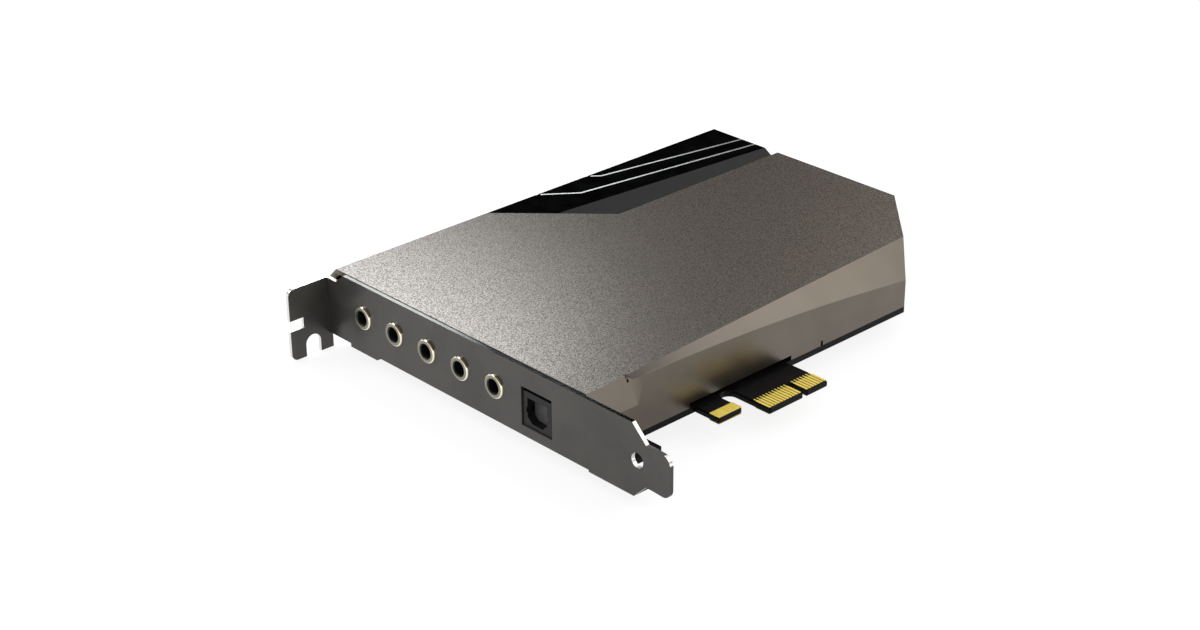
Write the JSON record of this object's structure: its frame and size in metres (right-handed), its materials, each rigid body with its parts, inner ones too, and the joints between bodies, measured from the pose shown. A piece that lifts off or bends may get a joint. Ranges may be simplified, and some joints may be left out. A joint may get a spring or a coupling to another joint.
{
  "type": "pci sound card",
  "caption": "Sound card for an expansion slot: slotted steel bracket with audio jacks and a shuttered optical port, board with a gold contact edge, and a faceted metal cover.",
  "frame": {"origin": "middle of the key slot, at the contact edge, on the component face of the board", "axes": "+X from the bracket to the far end, +Y from the contact edge to the bracket's tab, +Z away from the component face"},
  "size_m": [0.1453, 0.1197, 0.0216],
  "materials": {
    "bracket_steel": "satin black nickel plate",
    "board_mask": "black solder mask",
    "contact_gold": "gold plate",
    "cover_metal": "blasted and coated gunmetal",
    "insert_gloss": "polished black",
    "guide_milk": "milky light guide",
    "screw_steel": "black plated",
    "ferrule_gold": "pale gold plate",
    "jack_plastic": "moulded black",
    "spring_bronze": "bronze strip",
    "port_plastic": "moulded black",
    "shutter_plastic": "moulded dark grey",
    "spring_steel": "bright wire",
    "transmitter_plastic": "moulded black",
    "chip_plastic": "moulded epoxy",
    "relay_plastic": "moulded pale",
    "film_plastic": "moulded red",
    "can_aluminium": "drawn can",
    "ferrite": "pressed ferrite",
    "chip_ceramic": "ceramic",
    "diode_plastic": "white moulded",
    "solder": "tin solder"
  },
  "bodies": {
    "card": {"bracket": "bracket_steel", "circuit_board": "board_mask", "edge_contacts": "contact_gold", "cover": "cover_metal", "corner_insert": "insert_gloss", "light_guide_long": "guide_milk", "light_guide_short": "guide_milk", "cover_screws": "screw_steel", "bracket_screw": "screw_steel", "jack_ferrule_1": "ferrule_gold", "jack_ferrule_2": "ferrule_gold", "jack_ferrule_3": "ferrule_gold", "jack_ferrule_4": "ferrule_gold", "jack_ferrule_5": "ferrule_gold", "jack_body_1": "jack_plastic", "jack_body_2": "jack_plastic", "jack_body_3": "jack_plastic", "jack_body_4": "jack_plastic", "jack_body_5": "jack_plastic", "jack_contacts": "spring_bronze", "optical_housing": "port_plastic", "optical_transmitter": "transmitter_plastic", "audio_processor": "chip_plastic", "output_converter": "chip_plastic", "input_converter": "chip_plastic", "headphone_amplifiers": "chip_plastic", "flash_memory": "chip_plastic", "op_amps": "chip_plastic", "voltage_regulators": "chip_plastic", "output_relays": "relay_plastic", "film_capacitors": "film_plastic", "signal_capacitors": "can_aluminium", "power_capacitors": "can_aluminium", "clock_crystals": "can_aluminium", "inductors": "ferrite", "chip_resistors": "chip_ceramic", "chip_capacitors": "chip_ceramic", "light_diodes": "diode_plastic", "solder_joints": "solder"},
    "shutter": {"optical_shutter": "shutter_plastic", "shutter_spring": "spring_steel"}
  },
  "joints": [
    {"name": "shutter_hinge", "type": "hinge", "parent": "card", "child": "shutter", "pos_m": [-0.0539, 0.02912, 0.0072], "axis": [0, -1, 0], "range_deg": [0, 82], "stiffness_Nm_per_rad": 0.0001, "springref_deg": -17.19}
  ]
}
